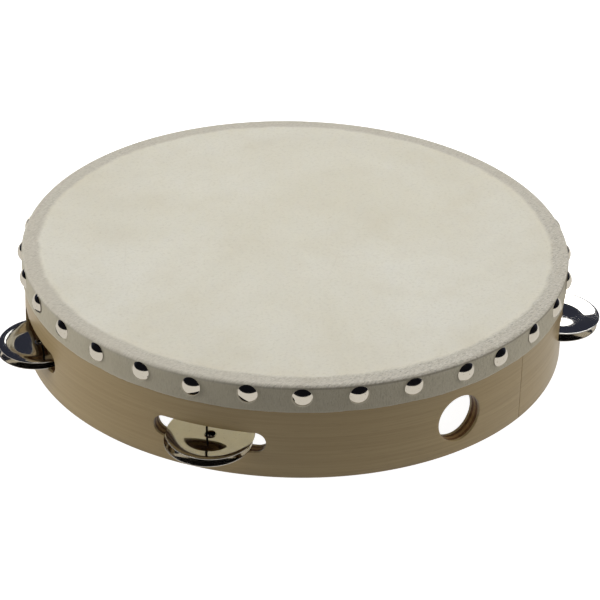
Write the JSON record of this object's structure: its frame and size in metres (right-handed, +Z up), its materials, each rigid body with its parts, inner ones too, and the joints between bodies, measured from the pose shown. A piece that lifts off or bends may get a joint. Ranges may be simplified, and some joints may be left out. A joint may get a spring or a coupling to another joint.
{
  "type": "tambourine",
  "caption": "Round wooden frame drum with a tacked skin head, a thumb hole, and pairs of steel jingles on upright pins in slots.",
  "frame": {"origin": "on the drum's axis in the plane that the open lower rim stands on", "axes": "+Z up through the drum to the head, -Y outward through the thumb hole, +X along the widest pair of jingle stations"},
  "size_m": [0.2787, 0.2636, 0.0484],
  "materials": {
    "birch_ply": "satin lacquer, fine grain round the shell",
    "birch_cross_ply": "end grain, seen only at edges",
    "head_skin": "dry, mottled, matt rawhide",
    "tack_chrome": "bright plated domes",
    "pin_steel": "dark drawn wire",
    "jingle_nickel": "polished nickel-plated sheet steel"
  },
  "bodies": {
    "drum": {"outer_ply": "birch_ply", "outer_cross_ply": "birch_cross_ply", "core_ply": "birch_ply", "inner_cross_ply": "birch_cross_ply", "inner_ply": "birch_ply", "skin_head": "head_skin", "head_tacks": "tack_chrome", "jingle_pin_1": "pin_steel", "jingle_pin_2": "pin_steel", "jingle_pin_3": "pin_steel", "jingle_pin_4": "pin_steel", "jingle_pin_5": "pin_steel", "jingle_pin_6": "pin_steel"},
    "jingle_1_lower": {"jingle_1_lower": "jingle_nickel"},
    "jingle_1_upper": {"jingle_1_upper": "jingle_nickel"},
    "jingle_2_lower": {"jingle_2_lower": "jingle_nickel"},
    "jingle_2_upper": {"jingle_2_upper": "jingle_nickel"},
    "jingle_3_lower": {"jingle_3_lower": "jingle_nickel"},
    "jingle_3_upper": {"jingle_3_upper": "jingle_nickel"},
    "jingle_4_lower": {"jingle_4_lower": "jingle_nickel"},
    "jingle_4_upper": {"jingle_4_upper": "jingle_nickel"},
    "jingle_5_lower": {"jingle_5_lower": "jingle_nickel"},
    "jingle_5_upper": {"jingle_5_upper": "jingle_nickel"},
    "jingle_6_lower": {"jingle_6_lower": "jingle_nickel"},
    "jingle_6_upper": {"jingle_6_upper": "jingle_nickel"}
  },
  "joints": [
    {"name": "jingle_1_lower_slide", "type": "slide", "parent": "drum", "child": "jingle_1_lower", "axis": [0, 0, 1], "range_m": [0, 0.0027]},
    {"name": "jingle_1_upper_slide", "type": "slide", "parent": "jingle_1_lower", "child": "jingle_1_upper", "axis": [0, 0, 1], "range_m": [0, 0.0027]},
    {"name": "jingle_2_lower_slide", "type": "slide", "parent": "drum", "child": "jingle_2_lower", "axis": [0, 0, 1], "range_m": [0, 0.0027]},
    {"name": "jingle_2_upper_slide", "type": "slide", "parent": "jingle_2_lower", "child": "jingle_2_upper", "axis": [0, 0, 1], "range_m": [0, 0.0027]},
    {"name": "jingle_3_lower_slide", "type": "slide", "parent": "drum", "child": "jingle_3_lower", "axis": [0, 0, 1], "range_m": [0, 0.0027]},
    {"name": "jingle_3_upper_slide", "type": "slide", "parent": "jingle_3_lower", "child": "jingle_3_upper", "axis": [0, 0, 1], "range_m": [0, 0.0027]},
    {"name": "jingle_4_lower_slide", "type": "slide", "parent": "drum", "child": "jingle_4_lower", "axis": [0, 0, 1], "range_m": [0, 0.0027]},
    {"name": "jingle_4_upper_slide", "type": "slide", "parent": "jingle_4_lower", "child": "jingle_4_upper", "axis": [0, 0, 1], "range_m": [0, 0.0027]},
    {"name": "jingle_5_lower_slide", "type": "slide", "parent": "drum", "child": "jingle_5_lower", "axis": [0, 0, 1], "range_m": [0, 0.0027]},
    {"name": "jingle_5_upper_slide", "type": "slide", "parent": "jingle_5_lower", "child": "jingle_5_upper", "axis": [0, 0, 1], "range_m": [0, 0.0027]},
    {"name": "jingle_6_lower_slide", "type": "slide", "parent": "drum", "child": "jingle_6_lower", "axis": [0, 0, 1], "range_m": [0, 0.0027]},
    {"name": "jingle_6_upper_slide", "type": "slide", "parent": "jingle_6_lower", "child": "jingle_6_upper", "axis": [0, 0, 1], "range_m": [0, 0.0027]}
  ]
}
